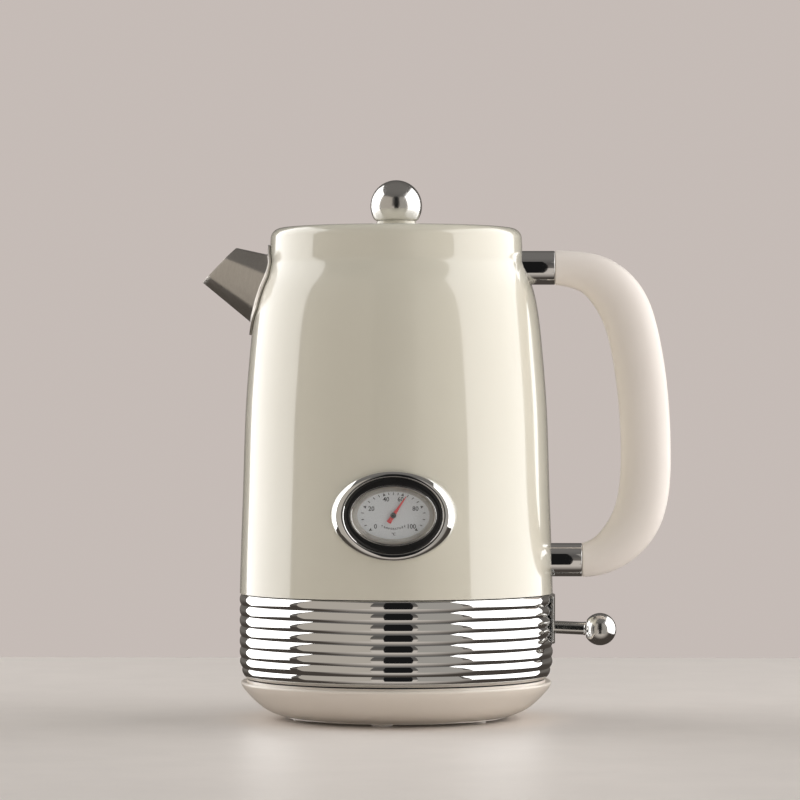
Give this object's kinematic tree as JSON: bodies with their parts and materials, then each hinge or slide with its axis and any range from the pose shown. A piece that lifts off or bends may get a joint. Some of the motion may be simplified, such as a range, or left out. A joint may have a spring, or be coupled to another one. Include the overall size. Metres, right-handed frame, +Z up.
{
  "type": "electric kettle",
  "caption": "Electric kettle with a dial thermometer, ribbed chrome band, lift-off lid and side switch lever, standing on its cordless power base.",
  "frame": {"origin": "on the kettle's upright axis, at the height of the table that the power base's feet stand on", "axes": "+Z up, +X towards the handle and the switch lever, -X towards the spout, -Y towards the dial"},
  "size_m": [0.2246, 0.1517, 0.2582],
  "materials": {
    "cream_enamel": "gloss enamel over steel",
    "cream_plastic": "satin moulded plastic",
    "soft_cream": "soft-touch satin",
    "chrome": "mirror",
    "satin_steel": "satin brushed",
    "silicone": "matte",
    "black_plastic": "fine satin",
    "aluminium": "as cast",
    "dial_silver": "satin silver print",
    "contact_brass": "bright",
    "clear_glass": "clear",
    "red_paint": "satin"
  },
  "bodies": {
    "power_base": {"base_shell": "cream_plastic", "base_plate": "cream_plastic", "base_feet": "silicone", "base_screws": "satin_steel", "base_connector": "black_plastic", "base_contacts": "contact_brass", "cord_gland": "black_plastic", "cord_clamp": "black_plastic", "terminal_block": "black_plastic", "terminal_screws": "satin_steel"},
    "socket": {"kettle_socket": "black_plastic", "socket_contacts": "contact_brass"},
    "kettle": {"body_shell": "cream_enamel", "spout": "satin_steel", "spout_gasket": "silicone", "filter_rails": "satin_steel", "vessel_floor": "satin_steel", "heater_plate": "aluminium", "heating_element": "satin_steel", "element_terminals": "contact_brass", "steam_tube": "satin_steel", "control_housing": "black_plastic", "control_screws": "satin_steel", "bimetal_discs": "contact_brass", "switch_block": "black_plastic", "ribbed_band": "chrome", "band_carrier": "black_plastic", "lever_escutcheon": "chrome", "bottom_cover": "black_plastic", "bottom_cover_screws": "satin_steel", "lever_pin": "satin_steel", "lever_bracket": "black_plastic", "handle_grip": "soft_cream", "upper_ferrule": "chrome", "lower_ferrule": "chrome", "grip_inserts": "contact_brass", "handle_screws": "satin_steel", "handle_washers": "silicone", "dial_bezel": "chrome", "dial_gasket": "black_plastic", "dial_trim": "chrome", "dial_face": "dial_silver", "dial_housing": "black_plastic", "dial_lens": "clear_glass", "dial_probe": "satin_steel", "dial_nut": "satin_steel"},
    "lid": {"lid_cap": "cream_enamel", "lid_plug": "cream_plastic", "lid_seal": "silicone", "lid_baffle": "satin_steel", "lid_neck": "cream_enamel", "lid_knob": "chrome", "knob_screw": "satin_steel"},
    "lever": {"lever_rocker": "black_plastic", "lever_rod": "chrome", "lever_ball": "chrome"},
    "needle": {"needle_hub": "black_plastic", "dial_needle": "red_paint"},
    "filter": {"filter_frame": "cream_plastic", "filter_mesh": "satin_steel"}
  },
  "joints": [
    {"name": "kettle_lift", "type": "slide", "parent": "power_base", "child": "socket", "axis": [0, 0, 1], "range_m": [0, 0.1]},
    {"name": "kettle_swivel", "type": "hinge", "parent": "socket", "child": "kettle", "pos_m": [0, 0, 0], "axis": [0, 0, 1], "continuous": true},
    {"name": "lid_lift", "type": "slide", "parent": "kettle", "child": "lid", "axis": [0, 0, 1], "range_m": [0, 0.08]},
    {"name": "switch_lever", "type": "hinge", "parent": "kettle", "child": "lever", "pos_m": [0.066, 0, 0.04425], "axis": [0, 1, 0], "range_deg": [0, 12]},
    {"name": "needle_turn", "type": "hinge", "parent": "kettle", "child": "needle", "pos_m": [0, -0.0728, 0.0994], "axis": [0, 1, 0], "range_deg": [-156, 88]},
    {"name": "filter_slide", "type": "slide", "parent": "kettle", "child": "filter", "axis": [1, 0, 0], "range_m": [0, 0.012]}
  ]
}
